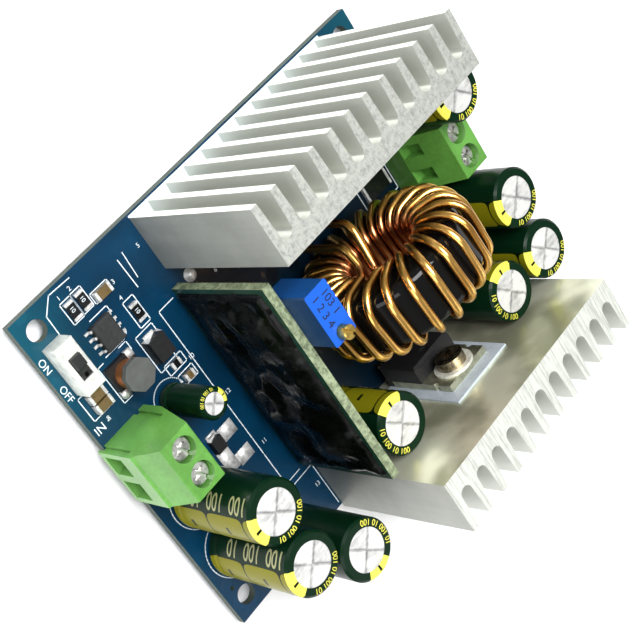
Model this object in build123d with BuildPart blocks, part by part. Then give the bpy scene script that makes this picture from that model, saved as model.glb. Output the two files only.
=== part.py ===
from build123d import *
import math
import os

# Step-down converter module on a single board, in millimetres.
# The origin is the middle of the board on its underside, +Z is up.
# Places are given as x and y from the board's corner, through spot() below.

# Main board
board_x = 65.0
board_y = 83.0
board_t = 1.6
mount_inset = 3.4
mount_hole_d = 3.5
via_place = (58.8, 2.1)
via_d = 0.8

# Leads and their solder joints
lead_below = 1.5
lead_fit = 0.3
solder_h = 1.0
solder_foot = 0.45

# Heatsinks: lengths of one extrusion, standing on the board
sink_length = 49.0
sink_height = 32.0
sink_depth = 10.15
sink_base = 3.1
sink_fins = 12
fin_tip = 1.3
slot_end_r = 1.25
sink_left_face = 10.8
sink_right_face = 55.6
sink_left_y = 50.9
sink_right_y = 51.9
sink_screw_slots = 4
sink_screw_depth = 7.0

# Power devices in a tab package, screwed to the heatsinks
pad_x = 14.4
pad_z0 = 3.0
pad_z1 = 21.8
pad_t = 0.4
tab_w = 10.2
tab_t = 1.3
tab_top = 19.0
body_z0 = 3.1
body_z1 = 12.2
body_w = 10.0
body_t = 4.5
device_hole_z = 16.0
device_hole_d = 3.6
lead_pitch = 2.54
lead_w = 0.8
lead_t = 0.5
lead_out = 2.4
m3_d = 3.0
m3_head_d = 5.2
m3_head_h = 1.8
m3_slot_w = 0.6
m3_slot_l = 2.8
washer_d = 7.2
washer_t = 0.5

# Inductor: a ring core on edge, wound with one length of wire
ring_place = (33.2, 51.9, 16.0)
ring_turn = 5.0
core_od = 28.4
core_id = 14.4
core_h = 10.4
core_edge = 1.6
wire_d = 1.4
turns = 25
outer_start = 150.0
inner_start = 141.0
inner_end = 159.0 - 360.0
start_lead = (20.0, 48.2)
end_lead = (23.6, 46.4)

# Upright control board
control_x0 = 14.0
control_x1 = 53.0
control_y = 25.1
control_t = 1.6
control_h = 24.15
control_pins = 12
control_pin_w = 0.64
pin_drop_y = 28.2
pin_z = 1.4

# Multiturn trimmer on the back of the control board
trimmer_x0 = 17.1
trimmer_w = 9.53
trimmer_d = 4.83
trimmer_z0 = 19.8
trimmer_h = 10.0
trimmer_screw_r = 1.15
trimmer_screw_up = 1.8
trimmer_screw_inset = 1.2
trimmer_screw_in = 8.0
trimmer_lead_d = 0.5

# Terminal blocks: two poles each, with rising cages
terminal_w = 10.6
pole_pitch = 5.08
terminal_h = 15.0
terminal_side = (
    (-1.1, 0),
    (-1.1, 9.4),
    (-0.7, 9.6),
    (1.1, terminal_h),
    (7.2, terminal_h),
    (9.6, 5.2),
    (9.5, 0),
)
key_places = ((-0.15, 8.0), (7.75, 7.4))
mouth_z = 3.4
mouth_w = 3.6
mouth_h = 4.8
mouth_end_z = 3.1
mouth_end_w = 2.6
mouth_end_h = 2.8
rear_slot_w = 2.4
rear_slot_z0 = 5.4
rear_slot_z1 = 9.7
rear_slot_v = 7.5
rear_slot_reach = 2.2
input_terminal_x = 29.5
output_terminal_x = 27.2
pole_v = 4.3
well_d = 4.2
well_z = 12.0
neck_d = 3.3
chamber_w = 4.2
chamber_v0 = 1.9
chamber_v1 = 6.7
chamber_top = 9.9
cage_w = 4.0
cage_v0 = 2.1
cage_v1 = 6.5
cage_z0 = 0.9
cage_h = 6.0
cage_wall = 0.65
cage_head = 1.6
strip_z = 4.5
strip_t = 0.7
strip_w = 2.2
strip_back = 8.2
clamp_head_d = 3.9
clamp_head_h = 1.9
clamp_r = 1.25
clamp_slot_w = 0.6
clamp_slot_depth = 0.9
clamp_end = 5.5

# Slide switch
switch_x0 = 6.2
switch_y0 = 2.0
switch_l = 9.0
switch_w = 3.7
switch_h = 4.0
switch_wall = 0.35
switch_travel = 2.0
knob_l = 2.1
knob_w = 1.9
knob_up = 0.85
slider_l = 4.6
slider_z0 = 1.8
switch_base_t = 0.8
switch_pin_pitch = 2.5
switch_pin_w = 0.7
switch_pin_t = 0.35

# Electrolytic capacitors: place of each axis and the side its stripe faces
capacitors = {
    "a": (42.3, 7.4, -90),
    "b": (53.4, 7.0, -90),
    "c": (59.8, 15.8, 0),
    "d": (38.6, 77.9, -90),
    "e": (49.9, 77.9, -90),
    "f": (50.1, 66.7, 180),
    "g": (16.4, 78.0, -90),
    "h": (49.9, 34.1, 180),
}
cap_r = 5.1
cap_top = 20.9
cap_pitch = 5.0
small_cap = (27.1, 13.9, 90)
small_r = 2.5
small_top = 11.9
small_pitch = 2.0
cap_lift = 0.3
cap_lead_d = 0.6
sleeve_t = 0.13
sleeve_lip_share = 0.28
score_depth = 0.12


# Chip parts on the board: place, length along x, width along y, height, turn
chip_resistors = (
    (4.95, 9.7, 3.2, 1.6, 0.55, 0),
    (4.85, 12.0, 3.2, 1.6, 0.55, 0),
    (12.45, 18.05, 3.2, 1.6, 0.55, 0),
    (23.35, 18.05, 2.0, 1.25, 0.5, 90),
    (27.7, 69.0, 6.4, 3.2, 0.7, 90),
)
chip_capacitors = (
    (6.05, 15.3, 3.2, 1.6, 1.0, 90),
    (17.1, 4.2, 3.2, 1.6, 1.3, 90),
    (19.0, 4.2, 3.2, 1.6, 1.3, 90),
    (26.3, 18.55, 2.0, 1.25, 1.0, 90),
)
chip_end = 0.5
diodes = (
    (18.9, 17.1, 4.4, 3.6, 2.1, 0),
    (38.4, 15.2, 2.8, 2.4, 1.3, 0),
)
diode_tab = 0.45
driver_place = (11.2, 11.75)
driver_l = 4.9
driver_w = 3.9
driver_t = 1.45
driver_lead_pitch = 1.27
driver_span = 6.0
driver_lead_w = 0.42
driver_lead_t = 0.22
choke_place = (18.2, 10.25)
choke_d = 5.6
choke_h = 4.8
choke_post_d = 2.6
choke_flange = 1.1

# Sealing compound on the control board: outline and lumps over its small parts
compound_outline = (
    (-18.6, 0.9),
    (-18.8, 21.0),
    (-15.5, 23.2),
    (16.0, 23.3),
    (18.9, 21.2),
    (18.5, 3.0),
    (16.0, 0.7),
)
compound_t = 0.7
compound_lumps = (
    (-11.5, 15.5, 7.0, 6.0, 1.9),
    (-1.5, 17.0, 6.5, 5.5, 1.6),
    (9.5, 15.0, 8.0, 6.5, 2.1),
    (-9.0, 6.0, 9.0, 4.5, 1.3),
    (3.5, 6.5, 8.0, 5.0, 1.7),
    (13.5, 6.0, 5.0, 4.5, 1.2),
)


def flat(x, y):
    """Point on a sketch about the board's middle, from its corner."""
    return (x - board_x / 2, y - board_y / 2)


def spot(x, y, z=0.0, turn=0.0):
    """Plane on the board's top face: x and y from its corner, z above the face."""
    return Plane(origin=(*flat(x, y), board_t + z)).rotated((0, 0, turn))


def across(base, x=0.0):
    """Plane across a base plane at x: its own x is the base's y, and its y goes up."""
    return Plane(origin=base.from_local_coords((x, 0, 0)), x_dir=base.y_dir, z_dir=base.x_dir)


def standing(base, y=0.0):
    """Plane on edge at the base's y, facing along that y, with its own y going up."""
    return Plane(origin=base.from_local_coords((0, y, 0)), x_dir=-base.x_dir, z_dir=base.y_dir)


def write(piece, name):
    """Label a finished piece and write it as a node of its own."""
    piece.label = name
    export_step(piece, f"parts/{name}.step")


def lead_section(size):
    """Cross-section of a lead: a circle of one size or a rectangle of two."""
    if len(size) == 1:
        Circle(size[0] / 2)
    else:
        Rectangle(*size)


def cap_leads(x, y, turn, pitch):
    """Both lead places of a capacitor, in line with its stripe."""
    step = Vector(pitch / 2, 0).rotate(Axis.Z, turn)
    return [(x + side * step.X, y + side * step.Y, turn) for side in (-1, 1)]


def lead_groups():
    """Every lead that goes through the board: places with one cross-section each."""
    round_leads = []
    for x, y, turn in capacitors.values():
        round_leads += cap_leads(x, y, turn, cap_pitch)
    round_leads += cap_leads(*small_cap, small_pitch)
    wires = [(*start_lead, 0), (*end_lead, 0)]
    device = []
    for i in (-1, 0, 1):
        device.append((sink_left_face + pad_t + lead_out, sink_left_y + i * lead_pitch, 90))
        device.append((sink_right_face - pad_t - lead_out, sink_right_y + i * lead_pitch, 90))
    contacts = []
    for side in (-pole_pitch / 2, pole_pitch / 2):
        contacts.append((input_terminal_x + side, strip_back - strip_t / 2, 0))
        contacts.append((output_terminal_x + side, board_y - strip_back + strip_t / 2, 0))
    header = [(x, pin_drop_y, 0) for x in header_x()]
    switch = [(x, switch_y0 + switch_w / 2, 0) for x in switch_pin_x()]
    return [
        (round_leads, (cap_lead_d,)),
        (wires, (wire_d,)),
        (device, (lead_w, lead_t)),
        (contacts, (1.1, strip_t)),
        (header, (control_pin_w, control_pin_w)),
        (switch, (switch_pin_w, switch_pin_t)),
    ]


def header_x():
    """Places of the pins along the control board's foot."""
    first = (control_x0 + control_x1 - (control_pins - 1) * lead_pitch) / 2
    return [first + i * lead_pitch for i in range(control_pins)]


def switch_pin_x():
    """Places of the switch's three pins."""
    middle = switch_x0 + switch_l / 2
    return [middle + i * switch_pin_pitch for i in (-1, 0, 1)]


def sink_screw_places():
    """Places of the screws that come up through the board into the heatsinks' slots."""
    offset = sink_screw_slots * (sink_length - fin_tip) / (sink_fins - 1)
    inset = sink_base + slot_end_r
    left = [(sink_left_face - inset, sink_left_y + side * offset) for side in (-1, 1)]
    right = [(sink_right_face + inset, sink_right_y + side * offset) for side in (-1, 1)]
    return left + right


def hole_radius(size):
    """Radius of the board hole for a lead of this cross-section."""
    return (math.hypot(*size) + lead_fit) / 2


def main_board():
    """Board with its corner holes, screw holes and lead holes."""
    with BuildPart() as board:
        with BuildSketch():
            Rectangle(board_x, board_y)
            with GridLocations(board_x - 2 * mount_inset, board_y - 2 * mount_inset, 2, 2):
                Circle(mount_hole_d / 2, mode=Mode.SUBTRACT)
            with Locations(flat(*via_place)):
                Circle(via_d / 2, mode=Mode.SUBTRACT)
            with Locations(*[flat(*place) for place in sink_screw_places()]):
                Circle(m3_d / 2 + 0.1, mode=Mode.SUBTRACT)
            for places, size in lead_groups():
                with Locations(*[flat(x, y) for x, y, turn in places]):
                    Circle(hole_radius(size), mode=Mode.SUBTRACT)
        extrude(amount=board_t)
    write(board.part, "main_board")


def solder_joints():
    """A fillet of solder under the board round each lead."""
    with BuildPart() as solder:
        for places, size in lead_groups():
            foot = hole_radius(size) + solder_foot
            neck = math.hypot(*size) / 2 + 0.12
            spots = [Location((*flat(x, y), 0), (180, 0, 0)) for x, y, turn in places]
            with Locations(*spots):
                Cone(foot, neck, solder_h, align=(Align.CENTER, Align.CENTER, Align.MIN))
        for places, size in lead_groups():
            with BuildSketch():
                with Locations(*[Location((*flat(x, y), 0), turn) for x, y, turn in places]):
                    lead_section(size)
            extrude(amount=-solder_h, mode=Mode.SUBTRACT)
    write(solder.part, "solder_joints")


def heatsink(name, base):
    """Comb extrusion on end: the base's y points out of its flat face."""
    pitch = (sink_length - fin_tip) / (sink_fins - 1)
    mouth = (pitch - fin_tip) / 2
    end = -sink_base - slot_end_r
    with BuildPart() as sink:
        with BuildSketch(base):
            with Locations((0, -sink_depth / 2)):
                Rectangle(sink_length, sink_depth)
            with GridLocations(pitch, 0, sink_fins - 1, 1):
                with Locations((0, end)):
                    Circle(slot_end_r, mode=Mode.SUBTRACT)
                corners = [(-slot_end_r, end), (slot_end_r, end), (mouth, -sink_depth), (-mouth, -sink_depth)]
                Polygon(*corners, align=None, mode=Mode.SUBTRACT)
        extrude(amount=sink_height)
        with BuildSketch(standing(base)):
            with Locations((0, device_hole_z)):
                Circle(m3_d / 2)
        extrude(amount=-sink_base - 2 * slot_end_r, mode=Mode.SUBTRACT)
    write(sink.part, name)


def sink_screws():
    """Screws from below, threaded into the round ends of the slots."""
    with BuildPart() as screws:
        with Locations(*[(*flat(*place), 0) for place in sink_screw_places()]):
            Cylinder(m3_head_d / 2, m3_head_h, align=(Align.CENTER, Align.CENTER, Align.MAX))
            Cylinder(slot_end_r, board_t + sink_screw_depth, align=(Align.CENTER, Align.CENTER, Align.MIN))
        rims = screws.edges().filter_by(GeomType.CIRCLE).group_by(Axis.Z)[0]
        chamfer(rims, 0.6)
        with Locations(*[(*flat(*place), -m3_head_h) for place in sink_screw_places()]):
            Box(m3_slot_l, m3_slot_w, 2.4, mode=Mode.SUBTRACT)
            Box(m3_slot_w, m3_slot_l, 2.4, mode=Mode.SUBTRACT)
    write(screws.part, "heatsink_screws")


def pads(bases):
    """Insulating pads between the power devices and the heatsinks."""
    with BuildPart() as pad:
        for base in bases:
            with BuildSketch(standing(base)):
                with Locations((0, (pad_z0 + pad_z1) / 2)):
                    Rectangle(pad_x, pad_z1 - pad_z0)
                with Locations((0, device_hole_z)):
                    Circle(m3_d / 2 + 0.3, mode=Mode.SUBTRACT)
            extrude(amount=pad_t)
    write(pad.part, "insulating_pads")


def lead_frame(name, base):
    """Stamped frame of a power device: its tab, and three leads down through the board."""
    bottom = -board_t - lead_below
    with BuildPart() as frame:
        with BuildSketch(standing(base, pad_t)):
            with Locations((0, (body_z0 + 1.5 + tab_top) / 2)):
                Rectangle(tab_w, tab_top - body_z0 - 1.5)
            with Locations((-tab_w / 2, tab_top - 3.4), (tab_w / 2, tab_top - 3.4)):
                Circle(0.6, mode=Mode.SUBTRACT)
            with Locations((0, device_hole_z)):
                Circle(device_hole_d / 2, mode=Mode.SUBTRACT)
        extrude(amount=tab_t)
        with BuildSketch(standing(base, pad_t + lead_out - lead_t / 2)):
            for i in (-1, 0, 1):
                with Locations((i * lead_pitch, (bottom + body_z0 + 3) / 2)):
                    Rectangle(lead_w, body_z0 + 3 - bottom)
                with Locations((i * lead_pitch, body_z0 + 0.5)):
                    Rectangle(1.3, 4.5)
        extrude(amount=lead_t)
        with BuildSketch(standing(base, pad_t + tab_t)):
            with Locations((0, body_z0 + 2.3)):
                Rectangle(lead_w, 1.4)
        extrude(amount=lead_out - tab_t)
    write(frame.part, name + "_frame")
    return frame.part


def device(name, base):
    """Power device: a moulded body round its stamped frame."""
    frame = lead_frame(name, base)
    with BuildPart() as body:
        with BuildSketch(standing(base, pad_t)):
            with Locations((0, (body_z0 + body_z1) / 2)):
                Rectangle(body_w, body_z1 - body_z0)
        extrude(amount=body_t)
        chamfer(body.edges().group_by(Axis(base.origin, base.y_dir))[-1], 0.4)
        with BuildSketch(standing(base, pad_t + body_t)):
            with Locations((0, body_z1 - 1.6)):
                Circle(0.9)
        extrude(amount=-0.15, mode=Mode.SUBTRACT)
        add(frame, mode=Mode.SUBTRACT)
    write(body.part, name + "_body")


def device_screws(bases):
    """Pan-head screws with their washers, which clamp the power devices."""
    face = pad_t + tab_t
    with BuildPart() as screws:
        for base in bases:
            with BuildSketch(standing(base, face + washer_t)):
                with Locations((0, device_hole_z)):
                    Circle(m3_head_d / 2)
            extrude(amount=m3_head_h)
            outer = screws.faces().filter_by(GeomType.PLANE).sort_by(Axis(base.origin, base.y_dir))[-1]
            fillet(outer.edges(), 0.9)
            with BuildSketch(standing(base, face + washer_t)):
                with Locations((0, device_hole_z)):
                    Circle(m3_d / 2)
            extrude(amount=-face - washer_t - sink_base - 1.6)
            with BuildSketch(standing(base, face + washer_t + m3_head_h)):
                with Locations((0, device_hole_z)):
                    Rectangle(m3_slot_l, m3_slot_w)
                    Rectangle(m3_slot_w, m3_slot_l)
            extrude(amount=-1.2, mode=Mode.SUBTRACT)
    with BuildPart() as washers:
        for base in bases:
            with BuildSketch(standing(base, face)):
                with Locations((0, device_hole_z)):
                    Circle(washer_d / 2)
                    Circle(m3_d / 2 + 0.1, mode=Mode.SUBTRACT)
            extrude(amount=washer_t)
    write(Compound([*screws.part.solids(), *washers.part.solids()]), "device_screws")


def ring_plane():
    """Plane of the inductor's ring: its z is the ring's axis, its x runs along the board."""
    return across(spot(*ring_place, turn=ring_turn))


def inductor_core():
    """Coated ring core on edge."""
    ring = ring_plane()
    with BuildPart() as core:
        with BuildSketch(ring):
            Circle(core_od / 2)
            Circle(core_id / 2, mode=Mode.SUBTRACT)
        extrude(amount=core_h / 2, both=True)
        fillet(core.edges().filter_by(GeomType.CIRCLE), core_edge)
    write(core.part, "inductor_core")


def winding_points():
    """Route of the wire: up from the board, round the core turn by turn, and down again."""
    ring = ring_plane()
    outer = (core_od + wire_d) / 2
    inner = (core_id - wire_d) / 2
    side = (core_h + wire_d) / 2
    below = -board_t - lead_below
    hole_pitch = (inner_start - inner_end) / turns

    def at(radius, angle, s):
        turned = math.radians(angle)
        return ring.from_local_coords((radius * math.cos(turned), radius * math.sin(turned), s))

    route = [spot(*start_lead, below).origin, spot(*start_lead, ring_place[2] + 2).origin]
    for i in range(turns):
        in_hole = inner_start - i * hole_pitch
        on_rim = outer_start - i * 360 / turns
        route += [at(inner, in_hole, -side), at(inner, in_hole, side)]
        route += [at(outer, on_rim, side), at(outer, on_rim, -side)]
    route.append(at(inner, inner_end, -side))
    route += [spot(*end_lead, ring_place[2] - 0.5).origin, spot(*end_lead, below).origin]
    return route


def inductor_winding():
    """One length of enamelled wire wound round the core."""
    with BuildPart() as winding:
        with BuildLine() as route:
            FilletPolyline(*winding_points(), radius=core_edge + wire_d / 2)
        with BuildSketch(route.line ^ 0):
            Circle(wire_d / 2)
        sweep()
    write(winding.part, "inductor_winding")


def control_plane(y=0.0):
    """Plane on edge through the control board, y behind its front face."""
    return standing(spot((control_x0 + control_x1) / 2, control_y), y)


def control_board():
    """Upright board with a row of pin holes at its foot and three for the trimmer."""
    middle = (control_x0 + control_x1) / 2
    with BuildPart() as board:
        with BuildSketch(control_plane()):
            with Locations((0, control_h / 2)):
                Rectangle(control_x1 - control_x0, control_h)
            with Locations(*[(middle - x, pin_z) for x in header_x()]):
                Rectangle(control_pin_w, control_pin_w, mode=Mode.SUBTRACT)
            with Locations(*[(middle - x, trimmer_z0 - 1.0) for x in trimmer_lead_x()]):
                Circle(trimmer_lead_d / 2, mode=Mode.SUBTRACT)
        extrude(amount=control_t)
    write(board.part, "control_board")


def control_compound():
    """Black compound poured over the small parts on the control board's front."""
    with BuildPart() as compound:
        with BuildSketch(control_plane()) as outline:
            Polygon(*compound_outline, align=None)
            fillet(outline.vertices(), 2.5)
        extrude(amount=-compound_t)
        for x, z, w, h, t in compound_lumps:
            with BuildSketch(control_plane()):
                with Locations((x, z)):
                    RectangleRounded(w, h, 1.2)
            extrude(amount=-t, taper=22)
    write(compound.part, "control_compound")


def control_header():
    """Insulating strip behind the control board, and its right-angle pins."""
    back = control_y + control_t
    drop = pin_drop_y - back
    half = control_pin_w / 2
    with BuildPart() as strip:
        with BuildSketch(control_plane(control_t)):
            with Locations((0, pin_z)):
                Rectangle(control_pins * lead_pitch, 2.4)
            with GridLocations(lead_pitch, 0, control_pins, 1):
                with Locations((0, pin_z)):
                    Rectangle(control_pin_w, control_pin_w, mode=Mode.SUBTRACT)
        extrude(amount=drop - half - 0.3)
    write(strip.part, "control_header")
    with BuildPart() as pins:
        for x in header_x():
            with BuildSketch(across(spot(x, 0), -half)):
                with BuildLine():
                    Polyline(
                        (control_y, pin_z - half),
                        (pin_drop_y - half, pin_z - half),
                        (pin_drop_y - half, -board_t - lead_below),
                        (pin_drop_y + half, -board_t - lead_below),
                        (pin_drop_y + half, pin_z + half),
                        (control_y, pin_z + half),
                        close=True,
                    )
                make_face()
            extrude(amount=control_pin_w)
    write(pins.part, "control_pins")


def trimmer_lead_x():
    """Places of the trimmer's three pins."""
    middle = trimmer_x0 + trimmer_w / 2
    return [middle + i * lead_pitch for i in (-1, 0, 1)]


def trimmer():
    """Multiturn trimmer: a sealed housing, a brass screw in its bore, and three bent pins."""
    back = control_y + control_t
    middle = spot(trimmer_x0 + trimmer_w / 2, back + trimmer_d / 2, trimmer_z0)
    screw_base = spot(trimmer_x0 + trimmer_w - trimmer_screw_inset, back + trimmer_d / 2, trimmer_z0 + trimmer_h)
    with BuildPart() as housing:
        with BuildSketch(middle):
            Rectangle(trimmer_w, trimmer_d)
        extrude(amount=trimmer_h)
        chamfer(housing.edges().filter_by(Axis.Z), 0.25)
        with BuildSketch(screw_base):
            Circle(trimmer_screw_r + 0.05)
        extrude(amount=-trimmer_screw_in - 0.1, mode=Mode.SUBTRACT)
    write(housing.part, "trimmer_body")
    with BuildPart() as screw:
        with BuildSketch(screw_base.offset(-trimmer_screw_in)):
            Circle(trimmer_screw_r)
        extrude(amount=trimmer_screw_in + trimmer_screw_up)
        chamfer(screw.edges().group_by(Axis.Z)[-1], 0.2)
        with BuildSketch(screw_base.offset(trimmer_screw_up).rotated((0, 0, 35))):
            Rectangle(3 * trimmer_screw_r, 0.5)
        extrude(amount=-0.8, mode=Mode.SUBTRACT)
    write(screw.part, "trimmer_screw")
    with BuildPart() as leads:
        for x in trimmer_lead_x():
            with BuildLine() as bend:
                low = spot(x, back + trimmer_d / 2, trimmer_z0 - 1.0)
                top = low.offset(1.0).origin
                FilletPolyline(top, low.origin, spot(x, control_y, trimmer_z0 - 1.0).origin, radius=0.6)
            with BuildSketch(bend.line ^ 0):
                Circle(trimmer_lead_d / 2)
            sweep()
    write(leads.part, "trimmer_leads")


def terminal_housing(name, base):
    """Moulded housing of two poles; the base's y points into the board from its edge."""
    poles = (-pole_pitch / 2, pole_pitch / 2)
    with BuildPart() as housing:
        with BuildSketch(across(base, -terminal_w / 2)):
            with BuildLine():
                Polyline(*terminal_side, close=True)
            make_face()
        extrude(amount=terminal_w)
        fillet(housing.edges().group_by(Axis.Z)[-1].filter_by(Axis(base.origin, base.x_dir)), 0.3)
        for x in poles:
            with BuildSketch(base.offset(terminal_h)):
                with Locations((x, pole_v)):
                    Circle(well_d / 2)
            extrude(amount=well_z - terminal_h, mode=Mode.SUBTRACT)
            with BuildSketch(base.offset(well_z)):
                with Locations((x, pole_v)):
                    Circle(neck_d / 2)
            extrude(amount=chamber_top - well_z, mode=Mode.SUBTRACT)
            with BuildSketch(base):
                with Locations((x, (chamber_v0 + chamber_v1) / 2)):
                    Rectangle(chamber_w, chamber_v1 - chamber_v0)
            extrude(amount=chamber_top, mode=Mode.SUBTRACT)
            with BuildSketch(base):
                with Locations((x, chamber_v1)):
                    Rectangle(strip_w, 2 * (strip_back - chamber_v1))
            extrude(amount=strip_z + strip_t, mode=Mode.SUBTRACT)
            with BuildSketch(standing(base, terminal_side[0][0])):
                with Locations((-x, mouth_z)):
                    Rectangle(mouth_w, mouth_h)
            with BuildSketch(standing(base, chamber_v0)):
                with Locations((-x, mouth_end_z)):
                    Rectangle(mouth_end_w, mouth_end_h)
            loft(mode=Mode.SUBTRACT)
            with BuildSketch(standing(base, rear_slot_v)):
                with Locations((-x, (rear_slot_z0 + rear_slot_z1) / 2)):
                    Rectangle(rear_slot_w, rear_slot_z1 - rear_slot_z0)
            extrude(amount=rear_slot_reach, mode=Mode.SUBTRACT)
        for v, height in key_places:
            with BuildSketch(base):
                with Locations((-terminal_w / 2, v)):
                    Rectangle(1.0, 0.9)
            extrude(amount=height, mode=Mode.SUBTRACT)
            with BuildSketch(base):
                with Locations((terminal_w / 2, v)):
                    Rectangle(0.8, 0.7)
            extrude(amount=height - 0.2)
    write(housing.part, name)


def terminal_cage(name, base, x):
    """Rising clamp: a rectangular ring with the threaded hole in its thick top."""
    middle = (cage_v0 + cage_v1) / 2
    inside = cage_h - cage_head - cage_wall
    with BuildPart() as cage:
        with BuildSketch(base.offset(cage_z0)):
            with Locations((x, middle)):
                Rectangle(cage_w, cage_v1 - cage_v0)
        extrude(amount=cage_h)
        with BuildSketch(standing(base, cage_v0)):
            with Locations((-x, cage_z0 + cage_wall + inside / 2)):
                Rectangle(cage_w - 2 * cage_wall, inside)
        extrude(amount=cage_v1 - cage_v0, mode=Mode.SUBTRACT)
        with BuildSketch(base.offset(cage_z0 + cage_h)):
            with Locations((x, pole_v)):
                Circle(clamp_r + 0.05)
        extrude(amount=-cage_head, mode=Mode.SUBTRACT)
    write(cage.part, name)


def terminal_screw(name, base, x):
    """Clamp screw: a cross-slotted head in its well, its shank down into the cage."""
    top = well_z + clamp_head_h
    with BuildPart() as screw:
        with BuildSketch(base.offset(well_z)):
            with Locations((x, pole_v)):
                Circle(clamp_head_d / 2)
        extrude(amount=clamp_head_h)
        chamfer(screw.edges().group_by(Axis.Z)[-1], 0.3)
        with BuildSketch(base.offset(clamp_end)):
            with Locations((x, pole_v)):
                Circle(clamp_r)
        extrude(amount=well_z - clamp_end)
        with BuildSketch(base.offset(top)):
            with Locations((x, pole_v)):
                Rectangle(clamp_head_d + 1, clamp_slot_w, rotation=30)
                Rectangle(clamp_slot_w, 0.6 * clamp_head_d, rotation=30)
        extrude(amount=-clamp_slot_depth, mode=Mode.SUBTRACT)
    write(screw.part, name)


def terminal_contacts(bases):
    """Contact strips through the cages, bent down into pins behind them."""
    with BuildPart() as contacts:
        for base in bases:
            for x in (-pole_pitch / 2, pole_pitch / 2):
                with BuildSketch(across(base, x - strip_w / 2)):
                    with BuildLine():
                        Polyline(
                            (chamber_v0 + 0.1, strip_z),
                            (strip_back - strip_t, strip_z),
                            (strip_back - strip_t, 0),
                            (strip_back, 0),
                            (strip_back, strip_z + strip_t),
                            (chamber_v0 + 0.1, strip_z + strip_t),
                            close=True,
                        )
                    make_face()
                extrude(amount=strip_w)
                with BuildSketch(base):
                    with Locations((x, strip_back - strip_t / 2)):
                        Rectangle(1.1, strip_t)
                extrude(amount=-board_t - lead_below)
    write(contacts.part, "terminal_contacts")


def terminal(name, base):
    """Housing, cages and screws of one terminal block."""
    terminal_housing(f"{name}_terminal", base)
    for side, x in (("a", -pole_pitch / 2), ("b", pole_pitch / 2)):
        terminal_cage(f"{name}_cage_{side}", base, x)
        terminal_screw(f"{name}_screw_{side}", base, x)


def switch_plane(x=0.0, z=0.0):
    """Plane on the board under the middle of the switch."""
    return spot(switch_x0 + switch_l / 2 + x, switch_y0 + switch_w / 2, z)


def slide_switch():
    """Slide switch: steel shell, insulating base, slider with its knob, contact and pins."""
    inside_l = switch_l - 2 * switch_wall
    inside_w = switch_w - 2 * switch_wall
    roof = switch_h - switch_wall
    window_l = knob_l + switch_travel + 0.1
    rest = -switch_travel / 2
    with BuildPart() as shell:
        with BuildSketch(switch_plane()):
            Rectangle(switch_l, switch_w)
        extrude(amount=switch_h)
        fillet(shell.edges().group_by(Axis.Z)[-1], 0.3)
        with BuildSketch(switch_plane()):
            Rectangle(inside_l, inside_w)
        extrude(amount=roof, mode=Mode.SUBTRACT)
        with BuildSketch(switch_plane(z=switch_h)):
            Rectangle(window_l, knob_w + 0.2)
        extrude(amount=-switch_wall, mode=Mode.SUBTRACT)
    write(shell.part, "switch_shell")
    with BuildPart() as base:
        with BuildSketch(switch_plane()):
            Rectangle(inside_l, inside_w)
            with GridLocations(switch_pin_pitch, 0, 3, 1):
                Rectangle(switch_pin_w, switch_pin_t, mode=Mode.SUBTRACT)
        extrude(amount=switch_base_t)
    write(base.part, "switch_base")
    with BuildPart() as slider:
        with BuildSketch(switch_plane(rest, slider_z0)):
            Rectangle(slider_l, inside_w - 0.2)
        extrude(amount=roof - slider_z0 - 0.05)
        with BuildSketch(switch_plane(rest, roof - 0.05)):
            Rectangle(knob_l, knob_w)
        extrude(amount=switch_wall + knob_up + 0.05)
        chamfer(slider.edges().group_by(Axis.Z)[-1], 0.15)
    write(slider.part, "switch_slider")
    with BuildPart() as contact:
        with BuildSketch(switch_plane(rest, slider_z0 - 0.25)):
            Rectangle(3.4, 1.6)
        extrude(amount=0.25)
        with BuildSketch(switch_plane(rest, slider_z0 - 0.55)):
            with GridLocations(switch_pin_pitch, 0, 2, 1):
                Rectangle(0.5, 1.6)
        extrude(amount=0.3)
    write(contact.part, "switch_contact")
    with BuildPart() as pins:
        with BuildSketch(switch_plane()):
            with GridLocations(switch_pin_pitch, 0, 3, 1):
                Rectangle(switch_pin_w, switch_pin_t)
        extrude(amount=switch_base_t)
        extrude(pins.faces().filter_by(Axis.Z).group_by(Axis.Z)[0], amount=board_t + lead_below)
        with BuildSketch(switch_plane(z=switch_base_t)):
            with GridLocations(switch_pin_pitch, 0, 3, 1):
                Rectangle(1.1, 1.4)
        extrude(amount=0.4)
    write(pins.part, "switch_pins")


def can_outline(radius, top, grow=0.0):
    """Half section of a can with the rolled groove above its foot, grown by a sleeve."""
    r = radius + grow
    return (
        (0, cap_lift),
        (r - 0.4, cap_lift),
        (r, cap_lift + 0.4),
        (r, cap_lift + 1.6),
        (r - 0.45, cap_lift + 2.1),
        (r, cap_lift + 2.6),
        (r, top + grow - 0.4),
        (r - 0.4, top + grow),
        (0, top + grow),
    )


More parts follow.
